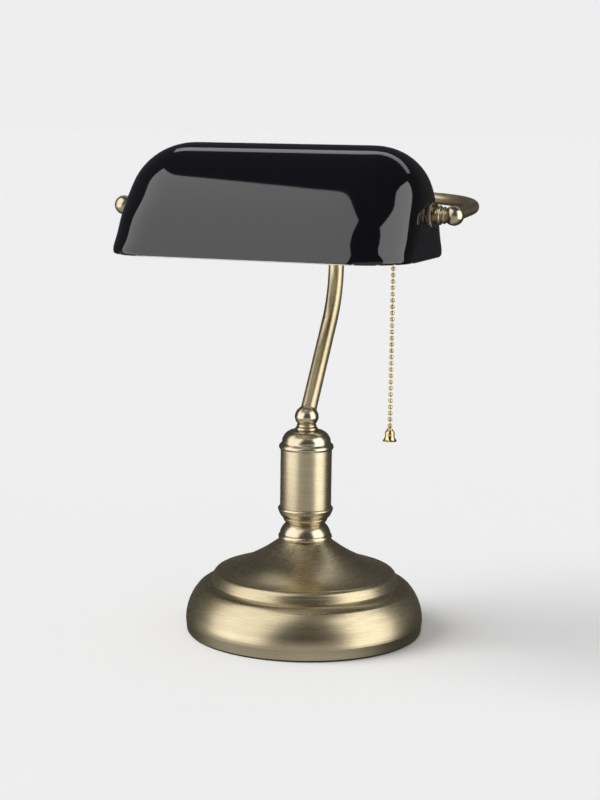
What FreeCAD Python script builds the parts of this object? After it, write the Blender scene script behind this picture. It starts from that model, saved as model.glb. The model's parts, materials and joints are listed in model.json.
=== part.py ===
import FreeCAD, Part
import math
import os

import Sketcher

# Banker desk lamp, in millimetres. X runs along the shade, +Y points to the back of the lamp, +Z up.
# The origin is the centre of the foot: the flat face of the felt pad that stands on the desk.

DIMENSIONS = {
    # foot
    "felt_radius": 89.0,
    "felt_thickness": 1.5,
    "wall": 1.5,
    "foot_radius": 90.0,
    "belly_radius": 90.8,
    "belly_height": 9.0,
    "dome_big_arc": 36.9,
    "dome_crown_arc": 14.0,
    "dome_join_radius": 81.8,
    "dome_join_height": 33.2,
    "step_radius": 71.2,
    "dome_height": 38.0,
    "band_radius": 70.4,
    "band_height": 41.5,
    "shoulder_radius": 66.5,
    "shoulder_height": 46.5,
    "shoulder_arc": 5.5,
    "cone_arc": 130.0,
    "cone_top_radius": 19.0,
    "cone_top": 71.3,
    "weight_radius": 72.0,
    "weight_top": 23.0,
    "weight_recess_radius": 13.0,
    "weight_recess_top": 18.0,
    "channel_width": 7.0,
    "inlet_height": 8.0,
    "inlet_hole_radius": 4.45,
    "grommet_start": 87.0,
    # threaded rod, its nuts and the lead inside
    "rod_radius": 5.0,
    "rod_bore": 3.2,
    "rod_bottom": 12.5,
    "rod_top": 147.0,
    "rod_clearance": 5.1,
    "nut_corner_radius": 8.1,
    "nut_thickness": 4.0,
    "lead_radius": 2.3,
    "lead_start": 86.0,
    "lead_bend": 5.0,
    # column
    "collar_radius": 20.2,
    "collar_ring_top": 74.6,
    "collar_top": 83.5,
    "waist_radius": 14.3,
    "cup_radius": 20.6,
    "cup_top": 96.0,
    "cup_seat": 94.0,
    "column_radius": 19.5,
    "column_bore": 18.3,
    "column_top": 140.7,
    "cap_radius": 20.4,
    "cap_top": 155.0,
    "cap_wall": 2.0,
    "disc_spigot": 137.0,
    "disc_top": 142.2,
    # elbow and arm
    "stem_radius": 6.0,
    "stem_bottom": 147.8,
    "ball_radius": 9.1,
    "ball_height": 165.0,
    "arm_lean": 35.5,
    "arm_radius": 6.0,
    "arm_bore": 5.0,
    "arm_seat": 3.2,
    "arm_straight": 80.8,
    "arm_bend": 74.0,
    "arm_upright": 47.65,
    # bow behind the shade
    "pivot_x": 126.2,
    "pivot_y": 54.0,
    "pivot_height": 323.5,
    "bow_tilt": 3.3,
    "bow_radius": 4.4,
    "bow_bore": 3.4,
    "bow_seat": 3.0,
    "bow_side": 37.73,
    "bow_bend": 76.0,
    "bow_back": 100.4,
    "arm_lead_radius": 1.8,
    "arm_lead_bend": 4.0,
    "fitting_bend": 3.0,
    "lead_reach": 32.0,
    # side fittings, measured from the outer pole of each ball towards the shade
    "side_ball_radius": 7.0,
    "fitting_end": 20.2,
    "nipple_radius": 4.0,
    "nipple_bore": 2.4,
    "nipple_start": 13.5,
    "washer_radius": 8.9,
    "washer_thickness": 1.2,
    "glass_face": 22.3,
    "holder_start": 27.3,
    # glass shade, heights measured from its rim
    "shade_rim": 292.5,
    "shade_height": 78.6,
    "shade_half_length": 110.7,
    "shade_end_start": 36.0,
    "shade_end_round": 44.0,
    "shade_front": 79.0,
    "shade_front_draft": 0.14,
    "shade_back": 58.0,
    "shade_back_draft": 0.02,
    "shade_arch_power": 1.8,
    "shade_corner": 38.0,
    "shade_corner_growth": 0.15,
    "glass_wall": 3.0,
    "glass_hole_radius": 5.6,
    # lampholder and bulb, along the pivot line
    "holder_cap_radius": 20.0,
    "holder_shell_radius": 19.0,
    "bulb_radius": 30.0,
    # pull chain
    "chain_x": 83.0,
    "bead_radius": 1.6,
    "bead_pitch": 4.48,
    "bead_count": 27,
}

doc = FreeCAD.newDocument("banker_lamp")
sheet = doc.addObject("Spreadsheet::Sheet", "Dims")
for row, (alias, value) in enumerate(DIMENSIONS.items(), start=1):
    sheet.set("A%d" % row, alias.replace("_", " "))
    sheet.set("B%d" % row, str(value))
    sheet.setAlias("B%d" % row, alias)
doc.recompute()

PARTS = []
RIGHT = FreeCAD.Vector(1, 0, 0)
BACK = FreeCAD.Vector(0, 1, 0)
UP = FreeCAD.Vector(0, 0, 1)


# ---------------------------------------------------------------- sums of sheet names and plain numbers

def number(expression):
    """Value of a sum such as 'cup_top - wall + 0.5', read from the sheet."""
    total = 0.0
    sign = 1.0
    for word in str(expression).split():
        if word in ("+", "-"):
            sign = 1.0 if word == "+" else -1.0
            continue
        total += sign * (float(sheet.get(word)) if word.isidentifier() else float(word))
        sign = 1.0
    return total


def bound(expression):
    """The same sum as the text of an expression that reads the sheet."""
    words = str(expression).split()
    return " ".join("Dims." + word if word.isidentifier() else word for word in words)


def bind(thing, prop, expression):
    """Set a property and tie it to the sheet."""
    setattr(thing, prop, number(expression))
    thing.setExpression(prop, bound(expression))


# ---------------------------------------------------------------- sketches

def origin_plane(body, role):
    """One of a body's own origin planes."""
    return next(item for item in body.Origin.OriginFeatures if item.Role == role)


def sketch_on(body, name, role="XZ_Plane"):
    """An empty sketch on an origin plane of its body."""
    sketch = body.newObject("Sketcher::SketchObject", name)
    sketch.AttachmentSupport = (origin_plane(body, role), [""])
    sketch.MapMode = "FlatFace"
    return sketch


def constrain(sketch, expression, *constraint):
    """Add a dimension whose value comes from the sheet."""
    index = sketch.addConstraint(Sketcher.Constraint(*constraint, number(expression)))
    sketch.setExpression("Constraints[%d]" % index, bound(expression))


def place_vertex(sketch, edge, end, across, up):
    """Fix a vertex at its distances from the sketch's origin."""
    if number(across) == 0.0:
        sketch.addConstraint(Sketcher.Constraint("PointOnObject", edge, end, -2))
    else:
        constrain(sketch, across, "DistanceX", -1, 1, edge, end)
    if number(up) == 0.0:
        sketch.addConstraint(Sketcher.Constraint("PointOnObject", edge, end, -1))
    else:
        constrain(sketch, up, "DistanceY", -1, 1, edge, end)


def arc_between(start, end, radius, side):
    """The shorter arc from start to end. It bulges left of the walk for side 1 and right of it for -1."""
    half = (end - start).Length / 2
    along = (end - start).normalize()
    left = FreeCAD.Vector(-along.y, along.x, 0)
    centre = (start + end) * 0.5 - left * (side * math.sqrt(radius ** 2 - half ** 2))
    first, last = (end, start) if side > 0 else (start, end)
    angles = [math.atan2(point.y - centre.y, point.x - centre.x) for point in (first, last)]
    circle = Part.Circle(centre, UP, radius)
    return Part.ArcOfCircle(circle, angles[0], angles[1])


def draw_outline(sketch, steps):
    """Closed outline: a step is (across, up) for a line, or (across, up, radius, side) for an arc."""
    points = [FreeCAD.Vector(number(step[0]), number(step[1]), 0) for step in steps]
    starts = []
    for index, step in enumerate(steps[1:] + steps[:1], start=1):
        begin, finish = points[index - 1], points[index % len(points)]
        if len(step) == 2:
            sketch.addGeometry(Part.LineSegment(begin, finish), False)
            starts.append((1, 2))
            continue
        sketch.addGeometry(arc_between(begin, finish, number(step[2]), step[3]), False)
        starts.append((2, 1) if step[3] > 0 else (1, 2))
        constrain(sketch, step[2], "Radius", index - 1)
    for edge, (_, end) in enumerate(starts):
        following = (edge + 1) % len(starts)
        sketch.addConstraint(Sketcher.Constraint("Coincident", edge, end, following, starts[following][0]))
    for edge, (start, _) in enumerate(starts):
        place_vertex(sketch, edge, start, steps[edge][0], steps[edge][1])


def draw_circle(sketch, radius, across="0", up="0"):
    """A full circle of a bound radius."""
    centre = FreeCAD.Vector(number(across), number(up), 0)
    edge = sketch.addGeometry(Part.Circle(centre, UP, number(radius)), False)
    constrain(sketch, radius, "Radius", edge)
    place_vertex(sketch, edge, 3, across, up)


def draw_path(sketch, moves):
    """Open path from the origin, first straight up. A move is ('run', length) or ('bend', radius, turn).

    A turn is in degrees, positive to the right. Every bend is tangent to the runs beside it.
    """
    here = FreeCAD.Vector(0, 0, 0)
    heading = 90.0
    last_end = None
    for edge, move in enumerate(moves):
        along = FreeCAD.Vector(math.cos(math.radians(heading)), math.sin(math.radians(heading)), 0)
        if move[0] == "run":
            there = here + along * number(move[1])
            sketch.addGeometry(Part.LineSegment(here, there), False)
            start, end = 1, 2
            constrain(sketch, move[1], "Distance", edge)
        else:
            side = math.copysign(1.0, number(move[2]))
            turned = math.radians(abs(number(move[2])))
            chord = 2 * number(move[1]) * math.sin(turned / 2)
            slant = math.radians(heading) - side * turned / 2
            there = here + FreeCAD.Vector(math.cos(slant), math.sin(slant), 0) * chord
            sketch.addGeometry(arc_between(here, there, number(move[1]), side), False)
            start, end = (2, 1) if side > 0 else (1, 2)
            constrain(sketch, move[1], "Radius", edge)
            heading -= number(move[2])
        if last_end is None:
            sketch.addConstraint(Sketcher.Constraint("Coincident", edge, start, -1, 1))
            sketch.addConstraint(Sketcher.Constraint("Vertical", edge))
        else:
            sketch.addConstraint(Sketcher.Constraint("Tangent", edge - 1, last_end, edge, start))
            if move[0] == "run" and abs(heading) % 180.0 < 1e-9:
                sketch.addConstraint(Sketcher.Constraint("Horizontal", edge))
            elif move[0] == "run" and abs(heading - 90.0) % 180.0 < 1e-9:
                sketch.addConstraint(Sketcher.Constraint("Vertical", edge))
        here = there
        last_end = end


# ---------------------------------------------------------------- ways of making a piece

def keep(thing, label):
    """Name a finished piece and put it on the list that is exported."""
    thing.Label = label
    PARTS.append(thing)
    return thing


def new_body(label):
    """An empty body."""
    return doc.addObject("PartDesign::Body", "body_" + label)


def turned(label, steps, finished=True):
    """A turned piece: the outline in the XZ plane goes once round Z."""
    body = new_body(label)
    sketch = sketch_on(body, label + "_outline")
    draw_outline(sketch, steps)
    turn = body.newObject("PartDesign::Revolution", label + "_turn")
    turn.Profile = sketch
    turn.ReferenceAxis = (sketch, ["V_Axis"])
    turn.Angle = 360.0
    doc.recompute()
    return keep(body, label) if finished else body


def ring(label, outer, inner, start, height):
    """A washer, sleeve or plain tube."""
    stop = start + " + " + height
    return turned(label, [(inner, start), (outer, start), (outer, stop), (inner, stop)])


def piped(label, moves, radius, bore=None):
    """A tube or a lead along a path that leaves the local origin along Z."""
    body = new_body(label)
    spine = sketch_on(body, label + "_path")
    draw_path(spine, moves)
    section = sketch_on(body, label + "_section", "XY_Plane")
    draw_circle(section, radius)
    if bore:
        draw_circle(section, bore)
    pipe = body.newObject("PartDesign::AdditivePipe", label + "_sweep")
    pipe.Profile = section
    pipe.Spine = (spine, ["Edge%d" % (index + 1) for index in range(len(moves))])
    doc.recompute()
    return body


def drill(body, name, role, radius, across, up, depth, reverse=False):
    """A round pocket from an origin plane, checked by the volume that it takes away."""
    sketch = sketch_on(body, name + "_circle", role)
    draw_circle(sketch, radius, across, up)
    return cut_pocket(body, name, sketch, depth, reverse)


def cut_pocket(body, name, sketch, depth, reverse=False):
    """A pocket of a bound depth. It has to remove something."""
    before = body.Shape.Volume
    pocket = body.newObject("PartDesign::Pocket", name)
    pocket.Profile = sketch
    pocket.Reversed = reverse
    bind(pocket, "Length", depth)
    doc.recompute()
    if body.Shape.Volume > before - 1e-6:
        raise RuntimeError(name + " cuts nothing")
    return pocket


def tool_cylinder(name, radius, start, length, centre, direction):
    """A cylinder along a direction, from start to start + length past a centre."""
    tool = doc.addObject("Part::Cylinder", name)
    bind(tool, "Radius", radius)
    bind(tool, "Height", length)
    tool.Placement = FreeCAD.Placement(centre + direction * number(start), FreeCAD.Rotation(UP, direction))
    return tool


def tool_ball(name, radius, centre):
    """A ball that clears the corner where two bores meet."""
    tool = doc.addObject("Part::Sphere", name)
    bind(tool, "Radius", radius)
    tool.Placement.Base = centre
    return tool


def cut_with(label, base, tools):
    """The base piece less its tools."""
    fused = tools[0]
    if len(tools) > 1:
        fused = doc.addObject("Part::MultiFuse", label + "_bores")
        fused.Shapes = tools
    cut = doc.addObject("Part::Cut", label + "_cut")
    cut.Base = base
    cut.Tool = fused
    doc.recompute()
    return keep(cut, label)


def axes(x_axis, y_axis, z_axis):
    """Rotation that takes the local axes to the given directions."""
    return FreeCAD.Rotation(x_axis, y_axis, z_axis, "ZXY")


# ---------------------------------------------------------------- foot

def build_felt_pad():
    """The pad that stands on the desk."""
    turned("felt_pad", [("0", "0"), ("felt_radius", "0"), ("felt_radius", "felt_thickness"),
                        ("0", "felt_thickness")])


def build_base_shell():
    """Spun shell: a belly, a stepped band and a flared cone, with the cord's hole in its back."""
    body = turned("base_shell", [
        ("foot_radius - wall", "felt_thickness"),
        ("foot_radius", "felt_thickness"),
        ("belly_radius", "belly_height"),
        ("dome_join_radius", "dome_join_height", "dome_big_arc", -1),
        ("step_radius", "dome_height", "dome_crown_arc", -1),
        ("band_radius", "band_height"),
        ("shoulder_radius", "shoulder_height", "shoulder_arc", -1),
        ("cone_top_radius", "cone_top", "cone_arc", 1),
        ("rod_clearance", "cone_top"),
        ("rod_clearance", "cone_top - wall"),
        ("cone_top_radius - 0.6", "cone_top - wall"),
        ("shoulder_radius - 0.6", "shoulder_height - wall", "cone_arc + wall", -1),
        ("band_radius - wall", "band_height", "shoulder_arc - wall", 1),
        ("step_radius - 1.6", "dome_height - wall"),
        ("step_radius", "dome_height - wall"),
        ("dome_join_radius - 1.1", "dome_join_height - 1", "dome_crown_arc - wall", 1),
        ("belly_radius - wall", "belly_height", "dome_big_arc - wall", 1),
    ], finished=False)
    before = body.Shape.Volume
    drill(body, "cord_hole", "XZ_Plane", "inlet_hole_radius", "0", "inlet_height", "foot_radius + 5")
    removed = before - body.Shape.Volume
    expected = math.pi * number("inlet_hole_radius") ** 2 * number("wall")
    if not 0.9 < removed / expected < 1.2:
        raise RuntimeError("the cord hole goes through the wrong wall")
    keep(body, "base_shell")


def build_base_weight():
    """Cast iron disc with a recess for the nut and a channel for the lead."""
    body = turned("base_weight", [
        ("weight_recess_radius", "felt_thickness"),
        ("weight_radius", "felt_thickness"),
        ("weight_radius", "weight_top - 2"),
        ("weight_radius - 2", "weight_top"),
        ("rod_clearance", "weight_top"),
        ("rod_clearance", "weight_recess_top"),
        ("weight_recess_radius", "weight_recess_top"),
    ], finished=False)
    sketch = sketch_on(body, "channel_outline", "XY_Plane")
    draw_outline(sketch, [("0 - 3.5", "0"), ("channel_width - 3.5", "0"),
                          ("channel_width - 3.5", "weight_radius + 1"), ("0 - 3.5", "weight_radius + 1")])
    cut_pocket(body, "lead_channel", sketch, "inlet_height + 3.5", reverse=True)
    keep(body, "base_weight")


def build_grommet():
    """Rubber grommet in the cord's hole. Its axis runs along Y."""
    grommet = turned("cord_grommet", [
        ("2.5", "0"), ("5.8", "0"), ("6.0", "0.3"), ("6.0", "1.3"), ("4.4", "1.3"), ("4.4", "4.2"),
        ("6.4", "4.2"), ("6.4", "5.2"), ("5.0", "6.6", "1.8", -1), ("2.5", "6.6"),
    ])
    grommet.Placement = FreeCAD.Placement(
        FreeCAD.Vector(0, number("grommet_start"), number("inlet_height")), axes(RIGHT, UP * -1, BACK))


def build_rod():
    """Threaded rod, the nuts along it and the washer under the weight."""
    ring("threaded_rod", "rod_radius", "rod_bore", "rod_bottom", "rod_top - rod_bottom")
    ring("base_washer", "12", "rod_clearance", "weight_recess_top - 1", "1")
    heights = ["weight_recess_top - 1 - nut_thickness", "weight_top", "cone_top - wall - nut_thickness",
               "disc_top"]
    nuts = []
    for index, height in enumerate(heights):
        blank = doc.addObject("Part::Prism", "nut_blank_%d" % index)
        blank.Polygon = 6
        bind(blank, "Circumradius", "nut_corner_radius")
        bind(blank, "Height", "nut_thickness")
        bore = tool_cylinder("nut_bore_%d" % index, "rod_radius + 0.02", "0", "nut_thickness",
                             FreeCAD.Vector(), UP)
        nut = doc.addObject("Part::Cut", "nut_%d" % index)
        nut.Base = blank
        nut.Tool = bore
        nut.Placement.Base = UP * number(height)
        nut.setExpression("Placement.Base.z", bound(height))
        nuts.append(nut)
    group = doc.addObject("Part::Compound", "rod_nuts_group")
    group.Links = nuts
    doc.recompute()
    keep(group, "rod_nuts")


def build_base_lead():
    """The lead from just inside the grommet through the weight's channel and up the rod."""
    lead = piped("base_lead", [("run", "lead_start - lead_bend"), ("bend", "lead_bend", "90"),
                               ("run", "rod_top - inlet_height - lead_bend - 0.3")], "lead_radius")
    start = FreeCAD.Vector(0, number("lead_start"), number("inlet_height"))
    lead.Placement = FreeCAD.Placement(start, axes(UP, RIGHT * -1, BACK * -1))
    keep(lead, "base_lead")


# ---------------------------------------------------------------- column

def build_column():
    """Collar, cup, brushed tube, top disc and the polished cap."""
    turned("neck_collar", [
        ("rod_clearance", "cone_top"),
        ("collar_radius - 0.3", "cone_top"),
        ("collar_radius - 0.3", "collar_ring_top", "2.4", -1),
        ("collar_radius - 1.1", "collar_ring_top + 0.6"),
        ("collar_radius - 0.8", "collar_ring_top + 1"),
        ("waist_radius", "collar_top", "13", -1),
        ("rod_clearance", "collar_top"),
    ])
    turned("lower_cup", [
        ("rod_clearance", "collar_top"),
        ("waist_radius", "collar_top"),
        ("waist_radius + 2.6", "collar_top + 3.6", "4.5", -1),
        ("waist_radius + 2.6", "collar_top + 4.2"),
        ("waist_radius + 3.6", "collar_top + 4.8"),
        ("cup_radius", "cup_top - 2.6", "10", -1),
        ("cup_radius - 0.4", "cup_top", "1.6", -1),
        ("column_radius + 0.05", "cup_top"),
        ("column_radius + 0.05", "cup_seat"),
        ("rod_clearance", "cup_seat"),
    ])
    ring("column_tube", "column_radius", "column_bore", "cup_seat", "column_top - cup_seat")
    turned("column_disc", [
        ("rod_clearance", "disc_spigot"),
        ("column_bore - 0.1", "disc_spigot"),
        ("column_bore - 0.1", "column_top"),
        ("column_radius - 0.2", "column_top"),
        ("column_radius - 0.2", "disc_top"),
        ("rod_clearance", "disc_top"),
    ])
    turned("column_cap", [
        ("column_radius - 0.15", "column_top"),
        ("cap_radius - 0.4", "column_top"),
        ("cap_radius - 0.4", "column_top + 3.6", "2.4", -1),
        ("cap_radius - 1.2", "column_top + 4.4"),
        ("cap_radius - 1.9", "column_top + 5.6", "1.6", 1),
        ("cap_radius - 1.9", "column_top + 6.4"),
        ("cap_radius - 8.9", "cap_top", "9.5", -1),
        ("stem_radius + 0.05", "cap_top"),
        ("stem_radius + 0.05", "cap_top - cap_wall"),
        ("cap_radius - 8.9", "cap_top - cap_wall"),
        ("cap_radius - 3.9", "column_top + 6", "8.5", 1),
        ("cap_radius - 3.9", "disc_top"),
        ("column_radius - 0.15", "disc_top"),
    ])


# ---------------------------------------------------------------- elbow and arm

def arm_direction():
    """Unit vector along the leaning part of the arm."""
    lean = math.radians(number("arm_lean"))
    return FreeCAD.Vector(0, math.sin(lean), math.cos(lean))


def arm_across():
    """Unit vector square to the leaning arm, on the side that it bends to."""
    lean = math.radians(number("arm_lean"))
    return FreeCAD.Vector(0, -math.cos(lean), math.sin(lean))


def build_elbow():
    """Ball elbow: a stem that turns in the cap, two rings and a ball with a flat seat for the arm."""
    body = turned("ball_elbow", [
        ("rod_bore", "stem_bottom"),
        ("stem_radius", "stem_bottom"),
        ("stem_radius", "cap_top + 0.1"),
        ("8.0", "cap_top + 0.1"),
        ("8.0", "cap_top + 2.4", "1.5", -1),
        ("6.9", "cap_top + 2.6"),
        ("7.2", "cap_top + 2.8"),
        ("7.2", "cap_top + 4.5", "1.2", -1),
        ("6.6", "cap_top + 4.7"),
        ("ball_radius", "ball_height", "ball_radius + 0.02", -1),
        ("0", "ball_height + ball_radius", "ball_radius + 0.02", -1),
        ("0", "ball_height"),
        ("rod_bore", "ball_height"),
    ], finished=False)
    body.Label = "elbow blank"
    centre = UP * number("ball_height")
    lean = arm_direction()
    cut_with("ball_elbow", body, [
        tool_cylinder("arm_seat_bore", "arm_radius + 0.02", "arm_seat", "ball_radius", centre, lean),
        tool_cylinder("arm_seat_flat", "ball_radius", "ball_radius - 2.7", "ball_radius", centre, lean),
        tool_cylinder("arm_lead_bore", "rod_bore", "0", "arm_seat + 1", centre, lean),
        tool_ball("elbow_hollow", "rod_bore + 0.8", centre),
    ])
    ring("swivel_nut", "9.5", "stem_radius + 0.02", "stem_bottom + 0.3", "4.6")


def build_arm():
    """Arm tube: straight where it leans back, then bent upright."""
    moves = [("run", "arm_straight"), ("bend", "arm_bend", "arm_lean"), ("run", "arm_upright")]
    arm = piped("arm_tube", moves,
                "arm_radius", "arm_bore")
    start = UP * number("ball_height") + arm_direction() * number("arm_seat")
    arm.Placement = FreeCAD.Placement(start, axes(arm_across(), RIGHT * -1, arm_direction()))
    keep(arm, "arm_tube")


def bow_direction():
    """Unit vector from a side ball to the back of the bow."""
    tilt = math.radians(number("bow_tilt"))
    return FreeCAD.Vector(0, math.cos(tilt), math.sin(tilt))


def side_ball(side):
    """Centre of a side ball: 1 is the right one, -1 the left one."""
    return FreeCAD.Vector(side * number("pivot_x"), -number("pivot_y"), number("pivot_height"))


def bow_centre():
    """Middle of the bow's back, where the arm joins it."""
    depth = number("bow_seat + bow_side + bow_bend")
    return side_ball(1) - RIGHT * number("pivot_x") + bow_direction() * depth


def build_bow():
    """The bow behind the shade, with a hole below its middle for the lead, and the ferrule that holds it."""
    bow = piped("bow_tube", [("run", "bow_side"), ("bend", "bow_bend", "0 - 90"), ("run", "bow_back"),
                             ("bend", "bow_bend", "0 - 90"), ("run", "bow_side")], "bow_radius", "bow_bore")
    bow.Label = "bow blank"
    along = bow_direction()
    start = side_ball(1) + along * number("bow_seat")
    bow.Placement = FreeCAD.Placement(start, axes(RIGHT, along.cross(RIGHT), along))
    doc.recompute()
    middle = bow_centre()
    cut_with("bow_tube", bow, [tool_cylinder("bow_lead_hole", "arm_lead_radius + 0.9", "0", "bow_radius + 1",
                                             middle + RIGHT * 0.6, UP * -1)])
    ferrule = turned("arm_ferrule", [
        ("arm_radius + 0.02", "0"), ("arm_radius + 1.4", "0"), ("arm_radius + 2", "1.2", "1.2", -1),
        ("arm_radius + 2", "15.6"), ("arm_radius - 1", "19.4", "6", -1), ("0", "19.8"), ("0", "14"),
        ("rod_bore", "13"), ("rod_bore", "5"), ("arm_radius + 0.02", "5"),
    ], finished=False)
    ferrule.Label = "ferrule blank"
    ferrule.Placement.Base = middle - UP * 11.2
    cut_with("arm_ferrule", ferrule,
             [tool_cylinder("ferrule_cross_bore", "bow_radius + 0.02", "0 - 10", "20", middle, RIGHT)])


def build_side_fittings():
    """Ball fittings on the bow's ends and, on each pivot, a nipple, a copper washer and an inner washer."""
    for side, name in ((1, "right"), (-1, "left")):
        inward = RIGHT * -side
        along = bow_direction()
        turn = axes(along, inward.cross(along), inward)
        pole = side_ball(side) - inward * number("side_ball_radius")
        blank = turned(name + "_ball_fitting", [
            ("0", "0"),
            ("0.6", "0"),
            ("side_ball_radius", "side_ball_radius", "side_ball_radius + 0.02", -1),
            ("4.9", "12", "side_ball_radius + 0.02", -1),
            ("4.9", "12.5"),
            ("5.7", "12.9"),
            ("5.7", "14.6", "1.2", -1),
            ("4.8", "15"),
            ("4.8", "15.6"),
            ("6.4", "16"),
            ("6.4", "18.2", "1.4", -1),
            ("5.3", "18.7"),
            ("5.3", "fitting_end"),
            ("nipple_radius + 0.02", "fitting_end"),
            ("nipple_radius + 0.02", "nipple_start"),
            ("nipple_bore", "nipple_start"),
            ("nipple_bore", "side_ball_radius"),
            ("0", "side_ball_radius"),
        ], finished=False)
        blank.Label = name + " ball blank"
        blank.Placement = FreeCAD.Placement(pole, turn)
        centre = side_ball(side)
        cut_with(name + "_ball_fitting", blank, [
            tool_cylinder(name + "_tube_seat", "bow_radius + 0.02", "bow_seat", "side_ball_radius",
                          centre, along),
            tool_cylinder(name + "_lead_bore", "nipple_bore", "0", "bow_seat + 1", centre, along),
            tool_ball(name + "_hollow", "nipple_bore + 1.4", centre),
        ])
        pieces = [
            ring(name + "_nipple", "nipple_radius", "nipple_bore", "nipple_start", "20.8"),
            ring(name + "_copper_washer", "washer_radius", "nipple_radius + 0.05", "fitting_end",
                 "washer_thickness"),
            ring(name + "_inner_washer", "8.6", "nipple_radius + 0.05",
                 "glass_face + glass_wall + 1.1", "0.9"),
        ]
        for piece in pieces:
            piece.Placement = FreeCAD.Placement(pole, turn)
    nut = turned("left_end_nut", [
        ("nipple_radius + 0.02", "0"), ("6.5", "0"), ("6.5", "4"), ("0.6", "10", "6.6", -1),
        ("0", "10"), ("0", "8.6"), ("nipple_radius + 0.02", "7.6"),
    ])
    base = side_ball(-1) + RIGHT * (number("glass_face + glass_wall + 2") - number("side_ball_radius"))
    nut.Placement = FreeCAD.Placement(base, axes(BACK, RIGHT.cross(BACK), RIGHT))


def rounded_wire(corners, radii):
    """Straight runs between corners, joined by tangent arcs of the given radii."""
    edges = []
    here = corners[0]
    for index, radius in enumerate(radii, start=1):
        corner = corners[index]
        arriving = (corner - corners[index - 1]).normalize()
        leaving = (corners[index + 1] - corner).normalize()
        turn = arriving.getAngle(leaving)
        reach = radius * math.tan(turn / 2)
        begin = corner - arriving * reach
        finish = corner + leaving * reach
        inward = (leaving - arriving).normalize()
        middle = corner + inward * (radius / math.cos(turn / 2) - radius)
        edges.append(Part.LineSegment(here, begin).toShape())
        edges.append(Part.Arc(begin, middle, finish).toShape())
        here = finish
    edges.append(Part.LineSegment(here, corners[-1]).toShape())
    return Part.Wire(edges)


def build_arm_lead():
    """The lead from the swivel through the elbow, the arm, the bow and the right fitting."""
    lean = math.radians(number("arm_lean"))
    knee = number("arm_seat + arm_straight") + number("arm_bend") * math.tan(lean / 2)
    middle = bow_centre()
    corners = [
        UP * (number("rod_top") + 0.4),
        UP * number("ball_height"),
        UP * number("ball_height") + arm_direction() * knee,
        middle,
        middle + RIGHT * number("pivot_x"),
        side_ball(1),
        side_ball(1) - RIGHT * number("lead_reach"),
    ]
    radii = [8.0, number("arm_bend"), number("arm_lead_bend"), number("bow_bend"), number("fitting_bend")]
    wire = rounded_wire(corners, radii)
    circle = Part.Circle(corners[0], UP, number("arm_lead_radius"))
    lead = doc.addObject("Part::Feature", "arm_lead_sweep")
    lead.Shape = wire.makePipeShell([Part.Wire([circle.toShape()])], True, False)
    expected = wire.Length * math.pi * number("arm_lead_radius") ** 2
    if abs(lead.Shape.Volume / expected - 1) > 0.01:
        raise RuntimeError("the arm lead has the wrong volume")
    keep(lead, "arm_lead")


# ---------------------------------------------------------------- shade

def shade_section(height, inset):
    """Closed outline of the shade at a height above its rim, moved inwards by inset.

    The ends and the top round off along superellipses. The pivot line is behind the middle of the rim, and
    the front wall slopes more than the back one.
    """
    rise = max(0.0, height - number("shade_end_start")) / (number("shade_height") - number("shade_end_start"))
    end_round = number("shade_end_round") * (1 - (1 - rise ** 2.1) ** (1 / 2.1))
    arch_power = number("shade_arch_power")
    arch = (1 - (max(height, 0.0) / number("shade_height")) ** arch_power) ** (1 / arch_power)
    half_length = number("shade_half_length") - end_round - inset
    front = (number("shade_front") - number("shade_front_draft") * height) * arch - inset
    back = (number("shade_back") - number("shade_back_draft") * height) * arch - inset
    corner = number("shade_corner") + number("shade_corner_growth") * height - inset
    corner = min(corner, 0.98 * front, 0.98 * back)
    edges = []
    ends = [(half_length, back, 0), (-half_length, back, 1),
            (-half_length, -front, 2), (half_length, -front, 3)]
    arcs = []
    for across, deep, quarter in ends:
        centre = FreeCAD.Vector(across - math.copysign(corner, across),
                                deep - math.copysign(corner, deep), height)
        angles = [quarter * math.pi / 2 + math.pi / 4 * step for step in range(3)]
        points = [centre + FreeCAD.Vector(math.cos(a), math.sin(a), 0) * corner for a in angles]
        arcs.append((Part.Arc(*points).toShape(), points))
    for index, (arc, points) in enumerate(arcs):
        edges.append(arc)
        edges.append(Part.LineSegment(points[2], arcs[(index + 1) % 4][1][0]).toShape())
    return Part.Wire(edges)


def shade_blank(inset):
    """Solid mould of the shade, moved inwards by inset."""
    top = number("shade_height")
    levels = [0.0, 0.14, 0.28, 0.42, 0.56, 0.69, 0.8, 0.89, 0.955, 0.985, 0.997]
    floor = -1.0 if inset else 0.0
    sections = [shade_section(floor if level == 0.0 else top * level, inset) for level in levels]
    if inset:
        for wire in sections[1:]:
            wire.translate(UP * -inset * 0.9)
    return Part.makeLoft(sections, True, False)


def build_shade():
    """Cased glass shade, open below, with a hole in each end wall, and the bushes in those holes."""
    rim = FreeCAD.Vector(0, -number("pivot_y"), number("shade_rim"))
    glass = shade_blank(0.0).cut(shade_blank(number("glass_wall")))
    bore = Part.makeCylinder(number("glass_hole_radius"), 300.0,
                             FreeCAD.Vector(-150, 0, number("pivot_height") - number("shade_rim")), RIGHT)
    shade = doc.addObject("Part::Feature", "glass_shade_moulding")
    shade.Shape = glass.cut(bore)
    shade.Placement.Base = rim
    keep(shade, "glass_shade")
    for side, name in ((1, "right"), (-1, "left")):
        inward = RIGHT * -side
        bush = turned(name + "_glass_bush", [
            ("nipple_radius + 0.06", "0 - 0.8"), ("8.4", "0 - 0.8"), ("8.4", "0"),
            ("glass_hole_radius - 0.02", "0"), ("glass_hole_radius - 0.02", "glass_wall + 0.9"),
            ("nipple_radius + 0.06", "glass_wall + 0.9")])
        start = side_ball(side) + inward * number("glass_face - side_ball_radius")
        bush.Placement = FreeCAD.Placement(start, axes(BACK, inward.cross(BACK), inward))


# ---------------------------------------------------------------- lampholder, bulb and pull switch

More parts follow.
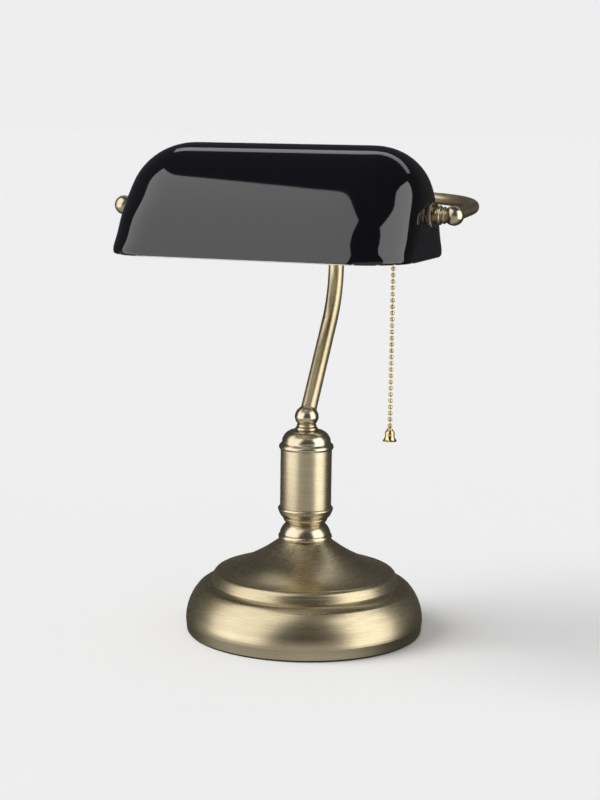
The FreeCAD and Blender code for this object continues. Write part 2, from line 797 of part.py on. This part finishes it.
def on_pivot(piece, start):
    """Lay a turned piece along the pivot line, its start measured from the right ball's outer pole."""
    base = side_ball(1) + RIGHT * (number("side_ball_radius") - number(start))
    piece.Placement = FreeCAD.Placement(base, axes(BACK, BACK.cross(RIGHT), RIGHT * -1))
    return piece


def build_lampholder():
    """Pull-chain lampholder on the right nipple: cap, shell, switch block, insulator and contacts."""
    on_pivot(turned("holder_cap", [
        ("nipple_radius + 0.02", "0"), ("8", "0"), ("holder_cap_radius", "10", "13", -1),
        ("holder_cap_radius", "18"), ("holder_cap_radius - 1.4", "18"), ("holder_cap_radius - 1.4", "10.4"),
        ("8", "1.5", "11.6", 1), ("nipple_radius + 0.02", "1.5"),
    ]), "holder_start")
    on_pivot(ring("holder_lock_nut", "7", "nipple_radius + 0.02", "0", "3"), "holder_start + 1.6")
    shell = on_pivot(ring("holder_shell", "holder_shell_radius", "holder_shell_radius - 1.2", "0", "32"),
                     "holder_start + 18")
    PARTS.remove(shell)
    shell.Label = "shell blank"
    holder_axis = side_ball(1)
    guide = FreeCAD.Vector(number("chain_x"), holder_axis.y, holder_axis.z)
    cut_with("holder_shell", shell, [tool_cylinder("guide_hole", "3.05", "0", "25", guide, UP * -1)])
    block = on_pivot(turned("switch_block", [
        ("0", "0"), ("12", "0"), ("15", "2"), ("15", "11"), ("0", "11")]), "holder_start + 18.2")
    PARTS.remove(block)
    block.Label = "block blank"
    cut_with("switch_block", block, [
        tool_cylinder("plunger_bore", "4.5", "0", "20", guide + UP * 5, UP * -1)])
    on_pivot(turned("holder_insulator", [
        ("0", "0"), ("17.4", "0"), ("17.4", "18"), ("14.6", "18"), ("14.6", "4"), ("3.1", "4"), ("3.1", "2"),
        ("0", "2")]), "holder_start + 29.4")
    on_pivot(ring("screw_contact", "14.5", "13.9", "0", "14"), "holder_start + 33.5")
    on_pivot(turned("centre_contact", [
        ("0", "0"), ("3", "0"), ("3", "2.6"), ("1.6", "3.6"), ("0", "3.6")]), "holder_start + 31.5")
    bush = turned("chain_guide", [
        ("2", "0"), ("3", "0"), ("3", "5.2"), ("4.2", "5.2"), ("4.2", "6.4"), ("3", "6.4"), ("3", "8.6"),
        ("2", "8.6")])
    bush.Placement.Base = guide - UP * 26.5
    plunger = turned("switch_plunger", [
        ("0", "0"), ("1.5", "0"), ("1.5", "17"), ("4", "17"), ("4", "19.5"), ("0", "19.5")])
    plunger.Placement.Base = guide - UP * 27.5


def build_bulb():
    """Screw-cap bulb in the lampholder."""
    on_pivot(turned("bulb_cap", [
        ("0", "0"), ("4.5", "0"), ("7", "1.4"), ("12.6", "2.4"), ("13.3", "4"), ("13.3", "24"),
        ("12.3", "24"), ("12.3", "4.6"), ("0", "4.2")]), "holder_start + 35.2")
    on_pivot(turned("bulb_glass", [
        ("11.2", "0"), ("12.2", "0"), ("12.2", "18"), ("16", "34", "45", 1),
        ("bulb_radius", "62", "36", -1), ("0.8", "62 + bulb_radius", "bulb_radius + 0.02", -1),
        ("0", "62 + bulb_radius"), ("0", "61 + bulb_radius"), ("0.8", "61 + bulb_radius"),
        ("bulb_radius - 1", "62", "bulb_radius - 0.98", 1), ("15", "34", "36", 1),
        ("11.2", "18", "45", -1)]), "holder_start + 42")


def build_chain():
    """Coupling ball, bead chain and the bell at its end."""
    top = FreeCAD.Vector(number("chain_x"), -number("pivot_y"), number("pivot_height") - 29.9)
    coupling = doc.addObject("Part::Sphere", "coupling_ball")
    bind(coupling, "Radius", "bead_radius + 0.5")
    coupling.Placement.Base = top
    keep(coupling, "chain_coupling")
    pieces = []
    first = top - UP * (number("bead_radius") * 2 + 0.5 + 0.4)
    count = int(number("bead_count"))
    for index in range(count):
        bead = doc.addObject("Part::Sphere", "bead_%d" % (index + 1))
        bind(bead, "Radius", "bead_radius")
        bead.Placement.Base = first - UP * (number("bead_pitch") * index)
        pieces.append(bead)
    links = doc.addObject("Part::Cylinder", "bead_links")
    tail = number("bead_radius") + 6
    links.Radius = 0.45
    links.Height = number("bead_pitch") * (count - 1) + tail
    links.Placement.Base = pieces[-1].Placement.Base - UP * tail
    chain = doc.addObject("Part::MultiFuse", "bead_chain_fuse")
    chain.Shapes = pieces + [links]
    doc.recompute()
    keep(chain, "bead_chain")
    bell = turned("bell_pull", [
        ("0.47", "1.2"), ("3.6", "0.6"), ("4.9", "0"), ("5.1", "0.5"), ("3.4", "4.6", "5.5", 1),
        ("2.4", "8", "3.6", -1), ("1.4", "9.6"), ("0.47", "9.7")])
    bell.Placement.Base = pieces[-1].Placement.Base - UP * (number("bead_radius") + 9.7)


# ---------------------------------------------------------------- writing the parts

def check_and_write():
    """Every object has to be sound before any file is written."""
    doc.recompute()
    for thing in doc.Objects:
        if "Invalid" in thing.State or "Error" in thing.State:
            raise RuntimeError("%s is %s" % (thing.Name, thing.State))
    for part in PARTS:
        if part.Shape.isNull() or not part.Shape.isValid():
            raise RuntimeError(part.Label + " has no valid shape")
    os.makedirs("parts", exist_ok=True)
    for part in PARTS:
        part.Shape.exportStep("parts/%s.step" % part.Label)
        print("%-24s solids %d volume %10.1f" % (part.Label, len(part.Shape.Solids), part.Shape.Volume))


build_felt_pad()
build_base_shell()
build_base_weight()
build_grommet()
build_rod()
build_base_lead()
build_column()
build_elbow()
build_arm()
build_bow()
build_side_fittings()
build_arm_lead()
build_shade()
build_lampholder()
build_bulb()
build_chain()
check_and_write()
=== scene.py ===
"""Looks of the banker desk lamp: finishes, the cased glass shade, the studio and the camera."""

import json
import logging
import math
from dataclasses import dataclass
from enum import Enum

import bpy
from mathutils import Euler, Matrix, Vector


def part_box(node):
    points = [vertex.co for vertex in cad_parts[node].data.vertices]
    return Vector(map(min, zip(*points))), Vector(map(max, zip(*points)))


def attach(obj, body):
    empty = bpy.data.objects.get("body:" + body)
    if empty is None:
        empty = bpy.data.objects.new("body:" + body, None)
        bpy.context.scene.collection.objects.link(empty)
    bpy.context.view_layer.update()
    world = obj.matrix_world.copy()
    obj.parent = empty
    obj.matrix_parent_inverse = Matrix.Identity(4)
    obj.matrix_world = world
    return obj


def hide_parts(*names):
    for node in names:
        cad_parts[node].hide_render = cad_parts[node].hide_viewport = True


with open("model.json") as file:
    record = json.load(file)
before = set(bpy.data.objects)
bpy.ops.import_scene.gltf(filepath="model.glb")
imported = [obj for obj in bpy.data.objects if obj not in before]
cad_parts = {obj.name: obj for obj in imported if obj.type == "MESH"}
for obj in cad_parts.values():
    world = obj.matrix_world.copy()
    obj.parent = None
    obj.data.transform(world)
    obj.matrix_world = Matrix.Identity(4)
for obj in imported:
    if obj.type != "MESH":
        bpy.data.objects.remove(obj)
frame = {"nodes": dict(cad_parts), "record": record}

LOG = logging.getLogger("banker_lamp")
Colour = tuple[float, float, float]

# Blender's Mix node has one set of sockets for each kind of data; these are the colour ones.
MIX_FACTOR, MIX_FIRST_COLOUR, MIX_SECOND_COLOUR = 0, 6, 7
MIX_COLOUR_RESULT = 2


class Lay(Enum):
    """Which way the brushing runs on a piece."""

    ROUND_THE_COLUMN = "round the column"
    ALONG_THE_SHADE = "along the shade"


class Side(Enum):
    """The two faces of a glass wall."""

    OUTER = 0
    INNER = 1


def clear_selection() -> None:
    """Leave every object deselected."""
    bpy.ops.object.select_all(action="DESELECT")


def make_active(piece: bpy.types.Object) -> None:
    """Select one object alone and make it the active one."""
    clear_selection()
    piece.select_set(True)
    bpy.context.view_layer.objects.active = piece


def direction(azimuth: float, elevation: float) -> Vector:
    """Point from the lamp towards a light.

    Args:
        azimuth: Degrees round from the front, positive to the right.
        elevation: Degrees above the table.

    Returns:
        The direction, one unit long.
    """
    turn, rise = math.radians(azimuth), math.radians(elevation)
    return Vector((math.sin(turn) * math.cos(rise), -math.cos(turn) * math.cos(rise), math.sin(rise)))


# ---------------------------------------------------------------- materials


class Bench:
    """A material being made: its node tree, and short calls that add nodes to it."""

    def __init__(self, name: str) -> None:
        """Start an empty material with one Principled shader."""
        self.material = bpy.data.materials.new(name)
        self.material.use_nodes = True
        self.nodes = self.material.node_tree.nodes
        self.links = self.material.node_tree.links
        self.shader = self.nodes["Principled BSDF"]

    def add(self, kind: str, **values: object) -> bpy.types.Node:
        """Add a node.

        Args:
            kind: Blender's name of the node type.
            values: Properties of the node and, after an "in_", its input sockets.

        Returns:
            The new node.
        """
        node = self.nodes.new(kind)
        for key, value in values.items():
            if key.startswith("in_"):
                node.inputs[key[3:].replace("_", " ")].default_value = value
            else:
                setattr(node, key, value)
        return node

    def link(self, source: bpy.types.NodeSocket, target: bpy.types.NodeSocket) -> None:
        """Join two sockets."""
        self.links.new(source, target)

    def math(self, operation: str, first: object, second: object = 0.0) -> bpy.types.NodeSocket:
        """Add a Math node.

        Args:
            operation: The Math node's operation.
            first: A socket or a number.
            second: A socket or a number.

        Returns:
            The result's socket.
        """
        node = self.nodes.new("ShaderNodeMath")
        node.operation = operation
        for place, value in enumerate((first, second)):
            if isinstance(value, bpy.types.NodeSocket):
                self.link(value, node.inputs[place])
            else:
                node.inputs[place].default_value = value
        return node.outputs[0]

    def object_coordinates(self) -> bpy.types.NodeSocket:
        """Coordinates fixed to the piece."""
        return self.nodes.new("ShaderNodeTexCoord").outputs["Object"]

    def noise(self, vector: bpy.types.NodeSocket, scale: float, detail: float = 3.0,
              roughness: float = 0.5) -> bpy.types.NodeSocket:
        """Add a Noise texture.

        Args:
            vector: Where the pattern is read.
            scale: Number of patches per metre.
            detail: Octaves of finer noise.
            roughness: Weight of the finer octaves.

        Returns:
            The noise, from 0 to 1.
        """
        node = self.add("ShaderNodeTexNoise", in_Scale=scale, in_Detail=detail, in_Roughness=roughness)
        self.link(vector, node.inputs["Vector"])
        return node.outputs["Fac"]

    def spread(self, value: bpy.types.NodeSocket, low: float, high: float, new_low: float,
               new_high: float) -> bpy.types.NodeSocket:
        """Map a value from one range to another, clamped.

        Args:
            value: The value to map.
            low: Value that becomes new_low.
            high: Value that becomes new_high.
            new_low: Result at low.
            new_high: Result at high.

        Returns:
            The mapped value.
        """
        node = self.add("ShaderNodeMapRange")
        for key, number in (("From Min", low), ("From Max", high), ("To Min", new_low), ("To Max", new_high)):
            node.inputs[key].default_value = number
        self.link(value, node.inputs["Value"])
        return node.outputs["Result"]

    def blend(self, factor: bpy.types.NodeSocket, first: Colour, second: Colour) -> bpy.types.NodeSocket:
        """Blend two colours by a factor.

        Args:
            factor: 0 gives the first colour and 1 the second.
            first: Linear colour.
            second: Linear colour.

        Returns:
            The colour's socket.
        """
        node = self.add("ShaderNodeMix", data_type="RGBA")
        node.inputs[MIX_FIRST_COLOUR].default_value = (*first, 1.0)
        node.inputs[MIX_SECOND_COLOUR].default_value = (*second, 1.0)
        self.link(factor, node.inputs[MIX_FACTOR])
        return node.outputs[MIX_COLOUR_RESULT]

    def bump(self, height: bpy.types.NodeSocket, strength: float, distance: float) -> None:
        """Roughen the surface by a height pattern.

        Args:
            height: The pattern.
            strength: How much of it shows.
            distance: Its depth in metres.
        """
        node = self.add("ShaderNodeBump", in_Strength=strength, in_Distance=distance)
        self.link(height, node.inputs["Height"])
        self.link(node.outputs["Normal"], self.shader.inputs["Normal"])

    def set(self, **values: object) -> None:
        """Set sockets of the shader to plain values."""
        for key, value in values.items():
            self.shader.inputs[key.replace("_", " ")].default_value = value


@dataclass(frozen=True)
class BrushedBrass:
    """Antiqued brass brushed with fine lines, a little darker in patches."""

    name: str
    lay: Lay
    bright: Colour = (0.57, 0.495, 0.345)
    dull: Colour = (0.41, 0.335, 0.195)
    lines_per_metre: float = 4200.0
    roughness: tuple[float, float] = (0.24, 0.33)
    line_depth: float = 0.00004
    line_strength: float = 0.07
    drift_round: float = 0.0012
    lean: float = 0.9
    drift_along: float = 0.02
    wide_share: float = 0.12
    patches_per_metre: float = 22.0
    weights: tuple[float, float, float] = (0.45, 0.35, 0.4)
    anisotropy: float = 0.6

    def build(self) -> bpy.types.Material:
        """Make the material.

        Returns:
            The finish.
        """
        bench = Bench(self.name)
        place = bench.object_coordinates()
        split = bench.add("ShaderNodeSeparateXYZ")
        bench.link(place, split.inputs[0])
        x, y, z = split.outputs
        lines = bench.add("ShaderNodeCombineXYZ")
        if self.lay is Lay.ROUND_THE_COLUMN:
            radius = bench.math("SQRT", bench.math("ADD", bench.math("MULTIPLY", x, x),
                                                   bench.math("MULTIPLY", y, y)))
            for place_in, side in enumerate((x, y)):
                turned = bench.math("MULTIPLY", bench.math("DIVIDE", side, radius), self.drift_round)
                bench.link(turned, lines.inputs[place_in])
            bench.link(bench.math("ADD", z, bench.math("MULTIPLY", radius, self.lean)), lines.inputs[2])
        else:
            bench.link(bench.math("MULTIPLY", x, self.drift_along), lines.inputs[0])
            bench.link(y, lines.inputs[1])
            bench.link(z, lines.inputs[2])
        fine = bench.noise(lines.outputs[0], self.lines_per_metre, 4.0, 0.7)
        wide = bench.noise(lines.outputs[0], self.lines_per_metre * self.wide_share, 2.0, 0.5)
        patches = bench.noise(place, self.patches_per_metre, 3.0, 0.6)
        shares = [bench.math("MULTIPLY", pattern, weight)
                  for pattern, weight in zip((fine, wide, patches), self.weights)]
        mixed = bench.math("ADD", shares[0], bench.math("ADD", shares[1], shares[2]))
        bench.link(bench.blend(bench.spread(mixed, 0.45, 0.85, 0.0, 1.0), self.bright, self.dull),
                   bench.shader.inputs["Base Color"])
        bench.link(bench.spread(fine, 0.3, 0.7, *self.roughness), bench.shader.inputs["Roughness"])
        bench.bump(fine, self.line_strength, self.line_depth)
        bench.set(Metallic=1.0, Anisotropic=self.anisotropy)
        return bench.material


@dataclass(frozen=True)
class PolishedMetal:
    """Buffed metal with faint clouding and the marks of handling."""

    name: str
    bright: Colour
    dull: Colour
    roughness: tuple[float, float] = (0.12, 0.24)
    clouds_per_metre: float = 60.0
    grain_per_metre: float = 1400.0
    grain_strength: float = 0.12
    grain_depth: float = 0.00002

    def build(self) -> bpy.types.Material:
        """Make the material.

        Returns:
            The finish.
        """
        bench = Bench(self.name)
        place = bench.object_coordinates()
        clouds = bench.noise(place, self.clouds_per_metre, 4.0, 0.6)
        grain = bench.noise(place, self.grain_per_metre, 2.0, 0.5)
        bench.link(bench.blend(bench.spread(clouds, 0.38, 0.68, 0.0, 1.0), self.bright, self.dull),
                   bench.shader.inputs["Base Color"])
        bench.link(bench.spread(clouds, 0.3, 0.7, *self.roughness), bench.shader.inputs["Roughness"])
        bench.bump(grain, self.grain_strength, self.grain_depth)
        bench.set(Metallic=1.0)
        return bench.material


@dataclass(frozen=True)
class Glass:
    """Opaque cased glass: gloss, a faint draw of the mould and a slow change of tone."""

    name: str
    tone: Colour
    deep: Colour
    roughness: float
    glow: float = 0.0
    waviness: float = 0.00006
    waves_per_metre: float = 26.0
    wave_strength: float = 0.25
    clouds_per_metre: float = 14.0
    smears_per_metre: float = 300.0
    smear: float = 1.6
    refraction: float = 1.6
    glow_reach: float = 0.004

    def build(self) -> bpy.types.Material:
        """Make the material.

        Returns:
            The finish.
        """
        bench = Bench(self.name)
        place = bench.object_coordinates()
        clouds = bench.noise(place, self.clouds_per_metre, 2.0, 0.5)
        bench.link(bench.blend(clouds, self.tone, self.deep), bench.shader.inputs["Base Color"])
        smears = bench.noise(place, self.smears_per_metre)
        bench.link(bench.spread(smears, 0.3, 0.7, self.roughness, self.roughness * self.smear),
                   bench.shader.inputs["Roughness"])
        bench.bump(bench.noise(place, self.waves_per_metre, 1.0, 0.4), self.wave_strength, self.waviness)
        bench.set(IOR=self.refraction, Subsurface_Weight=self.glow, Subsurface_Radius=(self.glow_reach,) * 3)
        return bench.material


@dataclass(frozen=True)
class Moulded:
    """Moulded or cast non-metal with a fine skin: rubber, plastic, porcelain, iron, sheath."""

    name: str
    tone: Colour
    other: Colour
    roughness: tuple[float, float]
    grain_per_metre: float = 900.0
    grain_depth: float = 0.00005
    metallic: float = 0.0
    patches_per_metre: float = 40.0
    grain_strength: float = 0.4

    def build(self) -> bpy.types.Material:
        """Make the material.

        Returns:
            The finish.
        """
        bench = Bench(self.name)
        place = bench.object_coordinates()
        grain = bench.noise(place, self.grain_per_metre, 4.0, 0.65)
        patches = bench.noise(place, self.patches_per_metre, 3.0, 0.5)
        bench.link(bench.blend(bench.spread(patches, 0.35, 0.65, 0.0, 1.0), self.tone, self.other),
                   bench.shader.inputs["Base Color"])
        bench.link(bench.spread(grain, 0.3, 0.7, *self.roughness), bench.shader.inputs["Roughness"])
        bench.bump(grain, self.grain_strength, self.grain_depth)
        bench.set(Metallic=self.metallic)
        return bench.material


@dataclass(frozen=True)
class Felt:
    """Pressed felt: short tangled fibres in two tones."""

    name: str
    tone: Colour
    other: Colour
    fibres_per_metre: float = 1800.0
    nap_strength: float = 0.9
    nap: float = 0.0004

    def build(self) -> bpy.types.Material:
        """Make the material.

        Returns:
            The finish.
        """
        bench = Bench(self.name)
        place = bench.object_coordinates()
        fibres = bench.noise(place, self.fibres_per_metre, 6.0, 0.8)
        bench.link(bench.blend(bench.spread(fibres, 0.35, 0.65, 0.0, 1.0), self.tone, self.other),
                   bench.shader.inputs["Base Color"])
        bench.bump(fibres, self.nap_strength, self.nap)
        bench.set(Roughness=0.95, Sheen_Weight=0.3)
        return bench.material


class FinishBook:
    """Every finish of the lamp, made once, under the record's name for its slot."""

    def __init__(self) -> None:
        """Make all the finishes."""
        makers = {
            "brushed_antique_brass": BrushedBrass("brass_brushed_round", Lay.ROUND_THE_COLUMN),
            "polished_antique_brass": PolishedMetal("brass_buffed", (0.64, 0.565, 0.42),
                                                    (0.48, 0.41, 0.275), (0.18, 0.32)),
            "satin_antique_brass": BrushedBrass("brass_brushed_along", Lay.ALONG_THE_SHADE,
                                                bright=(0.58, 0.49, 0.32), dull=(0.42, 0.34, 0.19)),
            "copper_washer": PolishedMetal("copper_plate", (0.46, 0.29, 0.15), (0.32, 0.20, 0.10),
                                           (0.2, 0.35)),
            "gold_brass": PolishedMetal("gold_plate", (0.82, 0.66, 0.36), (0.66, 0.49, 0.22), (0.10, 0.2)),
            "cast_iron": Moulded("iron_casting", (0.03, 0.03, 0.032), (0.06, 0.055, 0.05), (0.55, 0.8),
                                 700.0, 0.0003, 0.6),
            "zinc_steel": PolishedMetal("zinc_plate", (0.55, 0.56, 0.57), (0.40, 0.41, 0.42), (0.25, 0.42)),
            "felt": Felt("felt_fibres", (0.012, 0.012, 0.010), (0.035, 0.033, 0.028)),
            "black_rubber": Moulded("rubber_moulding", (0.012, 0.012, 0.012), (0.02, 0.02, 0.02),
                                    (0.5, 0.7)),
            "lead_sheath": Moulded("sheath", (0.21, 0.15, 0.05), (0.15, 0.10, 0.035), (0.35, 0.5)),
            "nylon": Moulded("nylon_moulding", (0.80, 0.78, 0.68), (0.72, 0.70, 0.6), (0.35, 0.5)),
            "porcelain": Moulded("glazed_porcelain", (0.82, 0.80, 0.74), (0.76, 0.73, 0.66), (0.1, 0.2),
                                 120.0),
            "phenolic": Moulded("phenolic_moulding", (0.012, 0.009, 0.007), (0.02, 0.014, 0.01),
                                (0.25, 0.4)),
            "contact_brass": PolishedMetal("contact_strip", (0.62, 0.47, 0.2), (0.5, 0.36, 0.14)),
            "opal_glass": Glass("bulb_opal", (0.80, 0.79, 0.74), (0.74, 0.73, 0.68), 0.22, 0.15),
            "cap_aluminium": PolishedMetal("cap_metal", (0.62, 0.63, 0.64), (0.5, 0.51, 0.52),
                                           (0.22, 0.35)),
            "black_cased_glass": Glass("casing_black", (0.0018, 0.002, 0.0038), (0.003, 0.0032, 0.0055),
                                       0.045),
        }
        self.made = {slot: maker.build() for slot, maker in makers.items()}
        self.inner_glass = Glass("casing_white", (0.83, 0.82, 0.78), (0.78, 0.77, 0.72), 0.16, 0.1).build()

    def dress(self, piece: bpy.types.Object, slot: str) -> None:
        """Give a piece the finish of a slot.

        Args:
            piece: A new piece or a node of the frame.
            slot: The record's name of the finish.
        """
        if not piece.material_slots:
            piece.data.materials.append(self.made[slot])
            return
        for place in piece.material_slots:
            place.material = self.made[slot]


# ---------------------------------------------------------------- the lamp's own pieces


@dataclass
class CasedShade:
    """The cased glass shade: black outside, white inside, with a fire-polished rim."""

    wall: float = 0.003
    merge: float = 0.00002
    grain: float = 0.0013
    rim_rounds: int = 10
    body_rounds: int = 90
    ease: float = 0.5
    rim_band: float = 0.0006
    crown_pull: float = 2.0
    eased_from: tuple[float, float] = (0.006, 0.018)

    def build(self) -> bpy.types.Object:
        """Model the shade over the moulding of the frame.

        Returns:
            The shade as one closed piece.
        """
        moulding = frame["nodes"]["glass_shade"]
        shade = bpy.data.objects.new("cased_shade", moulding.data.copy())
        bpy.context.scene.collection.objects.link(shade)
        make_active(shade)
        bpy.ops.object.mode_set(mode="EDIT")
        bpy.ops.mesh.select_all(action="SELECT")
        bpy.ops.mesh.remove_doubles(threshold=self.merge)
        bpy.ops.object.mode_set(mode="OBJECT")
        even = shade.modifiers.new("even_mesh", "REMESH")
        even.mode = "VOXEL"
        even.voxel_size = self.grain
        bpy.ops.object.modifier_apply(modifier=even.name)
        body = shade.vertex_groups.new(name="above_rim")
        low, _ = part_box("glass_shade")
        start, full = self.eased_from
        for corner in shade.data.vertices:
            weight = (corner.co.z - low.z - start) / (full - start)
            body.add([corner.index], min(max(weight, 0.0), 1.0), "REPLACE")
        for name, rounds, group in (("fire_polish", self.rim_rounds, ""),
                                    ("mould_polish", self.body_rounds, body.name)):
            ease = shade.modifiers.new(name, "SMOOTH")
            ease.factor = self.ease
            ease.iterations = rounds
            ease.vertex_group = group
            bpy.ops.object.modifier_apply(modifier=ease.name)
        bpy.ops.object.shade_smooth()
        return shade

    def dress(self, shade: bpy.types.Object, finishes: FinishBook) -> None:
        """Black glass on the outside, white glass inside and on the rim.

        Args:
            shade: The shade.
            finishes: The lamp's finishes.
        """
        shade.data.materials.clear()
        shade.data.materials.append(finishes.made["black_cased_glass"])
        shade.data.materials.append(finishes.inner_glass)
        low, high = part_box("glass_shade")
        centre = (low + high) / 2
        for face in shade.data.polygons:
            outward = face.center - centre
            outward.z = max(face.center.z - (low.z + self.wall), 0.0) * self.crown_pull
            side = Side.OUTER if face.normal.dot(outward) > 0 else Side.INNER
            if face.center.z < low.z + self.rim_band:
                side = Side.INNER
            face.material_index = side.value
        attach(shade, "shade")
        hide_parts("glass_shade")


class FrameNodes:
    """The lamp's metal, plastic and porcelain pieces, whose shapes come from the frame."""

    @staticmethod
    def dress(finishes: FinishBook) -> None:
        """Give every node of the frame its finish.

        Args:
            finishes: The lamp's finishes.
        """
        for part in frame["record"]["subparts"]:
            node = frame["nodes"][part["node"]]
            finishes.dress(node, part["material_slot"])
            LOG.info("%s: %s", part["node"], part["material_slot"])


# ---------------------------------------------------------------- studio


@dataclass(frozen=True)
class SoftBox:
    """A soft light that faces the lamp and shows in its gloss."""

    name: str
    azimuth: float
    elevation: float
    distance: float
    width: float
    tall: float
    radiance: float
    aim_height: float = 0.25

    def build(self) -> None:
        """Make the light."""
        data = bpy.data.lights.new(self.name, "AREA")
        data.shape = "RECTANGLE"
        data.size = self.width
        data.size_y = self.tall
        data.energy = math.pi * self.width * self.tall * self.radiance
        light = bpy.data.objects.new(self.name, data)
        bpy.context.scene.collection.objects.link(light)
        away = direction(self.azimuth, self.elevation)
        light.location = Vector((0, 0, self.aim_height)) + away * self.distance
        light.rotation_euler = away.to_track_quat("Z", "Y").to_euler()
        light.visible_diffuse = False


@dataclass
class Studio:
    """Pale paper under the lamp, an even pale surround, soft boxes and a soft key from the left."""

    reach: float = 60.0
    paper_tone: Colour = (0.86, 0.86, 0.86)
    seen_surround: float = 0.855
    lit_surround: float = 0.5
    mirrored_surround: float = 0.06
    mirrored_table: float = 0.52
    table_fades: tuple[tuple[str, float, float], ...] = (("Z", 0.08, -0.12), ("Y", 0.3, -0.3))
    mottle: float = 0.992
    mottle_per_metre: float = 3.0
    key_strength: float = 2.37
    key_azimuth: float = -60.0
    key_elevation: float = 42.0
    key_softness: float = 45.0

    def paper(self) -> bpy.types.Material:
        """Make pale matt paper with a faint mottle.

        Returns:
            The paper.
        """
        bench = Bench("backdrop_paper")
        place = bench.object_coordinates()
        bench.link(bench.blend(bench.noise(place, self.mottle_per_metre), self.paper_tone,
                               tuple(part * self.mottle for part in self.paper_tone)),
                   bench.shader.inputs["Base Color"])
        bench.set(Roughness=0.95, Specular_IOR_Level=0.0)
        return bench.material

    def build_floor(self) -> None:
        """The paper that the lamp stands on."""
        clear_selection()
        bpy.ops.mesh.primitive_plane_add(size=self.reach, location=(0, 0, 0))
        floor = bpy.context.object
        floor.name = "backdrop"
        floor.data.materials.append(self.paper())
        floor.visible_glossy = False

    @staticmethod
    def mix(nodes: bpy.types.Nodes, links: bpy.types.NodeLinks, factor: bpy.types.NodeSocket,
            first: object, second: object) -> bpy.types.NodeSocket:
        """Blend two strengths of light.

        Args:
            nodes: The world's nodes.
            links: The world's links.
            factor: 0 gives the first and 1 the second.
            first: A socket or a number.
            second: A socket or a number.

        Returns:
            The blended strength.
        """
        node = nodes.new("ShaderNodeMix")
        links.new(factor, node.inputs["Factor"])
        for name, value in (("A", first), ("B", second)):
            if isinstance(value, bpy.types.NodeSocket):
                links.new(value, node.inputs[name])
            else:
                node.inputs[name].default_value = value
        return node.outputs["Result"]

    def build_surround(self) -> None:
        """Pale all round, and dimmer where the lamp mirrors it, as in a darkened studio."""
        world = bpy.data.worlds.new("surround")
        world.use_nodes = True
        nodes, links = world.node_tree.nodes, world.node_tree.links
        background = nodes["Background"]
        background.inputs["Color"].default_value = (1.0, 1.0, 1.0, 1.0)
        split = nodes.new("ShaderNodeSeparateXYZ")
        links.new(nodes.new("ShaderNodeTexCoord").outputs["Generated"], split.inputs[0])
        table = nodes.new("ShaderNodeMath")
        table.operation = "MULTIPLY"
        for place, (axis, near, far) in enumerate(self.table_fades):
            fade = nodes.new("ShaderNodeMapRange")
            fade.inputs["From Min"].default_value = near
            fade.inputs["From Max"].default_value = far
            links.new(split.outputs[axis], fade.inputs["Value"])
            links.new(fade.outputs["Result"], table.inputs[place])
        mirrored = self.mix(nodes, links, table.outputs[0], self.mirrored_surround, self.mirrored_table)
        path = nodes.new("ShaderNodeLightPath")
        strength = self.mix(nodes, links, path.outputs["Is Glossy Ray"], self.lit_surround, mirrored)
        strength = self.mix(nodes, links, path.outputs["Is Camera Ray"], strength, self.seen_surround)
        links.new(strength, background.inputs["Strength"])
        bpy.context.scene.world = world

    def build_key(self) -> None:
        """The soft key that throws the lamp's shadow to the right and back."""
        data = bpy.data.lights.new("key", "SUN")
        data.energy = self.key_strength
        data.angle = math.radians(self.key_softness)
        key = bpy.data.objects.new("key", data)
        bpy.context.scene.collection.objects.link(key)
        away = direction(self.key_azimuth, self.key_elevation)
        key.rotation_euler = away.to_track_quat("Z", "Y").to_euler()
        key.visible_glossy = False

    def build_lights(self) -> None:
        """A large soft box front left, one on the right and a strip overhead."""
        for light in (
            SoftBox("box_left", azimuth=-46.0, elevation=26.0, distance=1.2, width=1.65, tall=2.3,
                    radiance=1.7),
            SoftBox("box_right", azimuth=86.0, elevation=12.0, distance=1.2, width=1.15, tall=1.7,
                    radiance=2.2),
            SoftBox("strip_top", azimuth=180.0, elevation=55.0, distance=1.3, width=1.5, tall=0.2,
                    radiance=1.3),
        ):
            light.build()
        self.build_key()


@dataclass
class ViewPoint:
    """The camera: where it stands and how it looks."""

    place: tuple[float, float, float] = (0.4615, -1.2628, 0.3921)
    azimuth: float = 20.3
    pitch: float = 9.05
    roll: float = 0.75
    lens: float = 81.0
    sensor: float = 36.0
    nearest: float = 0.05
    farthest: float = 50.0

    def build(self) -> None:
        """Make the scene's camera."""
        data = bpy.data.cameras.new("view")
        data.lens = self.lens
        data.sensor_width = self.sensor
        data.clip_start = self.nearest
        data.clip_end = self.farthest
        camera = bpy.data.objects.new("view", data)
        bpy.context.scene.collection.objects.link(camera)
        camera.location = self.place
        level = Euler((math.radians(90.0 - self.pitch), 0.0, math.radians(self.azimuth)), "XYZ").to_matrix()
        lean = Euler((0.0, 0.0, math.radians(self.roll)), "XYZ").to_matrix()
        camera.rotation_euler = (level @ lean).to_euler()
        bpy.context.scene.camera = camera


def main() -> None:
    """Build the camera, the studio and the lamp."""
    logging.basicConfig(level=logging.INFO, format="%(name)s: %(message)s")
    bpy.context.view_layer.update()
    ViewPoint().build()
    studio = Studio()
    studio.build_floor()
    studio.build_surround()
    studio.build_lights()
    finishes = FinishBook()
    FrameNodes.dress(finishes)
    maker = CasedShade()
    shade = maker.build()
    maker.dress(shade, finishes)
    LOG.info("%s: %d faces", shade.name, len(shade.data.polygons))
    bpy.context.scene.view_settings.view_transform = "Standard"


if __name__ == "__main__":
    main()
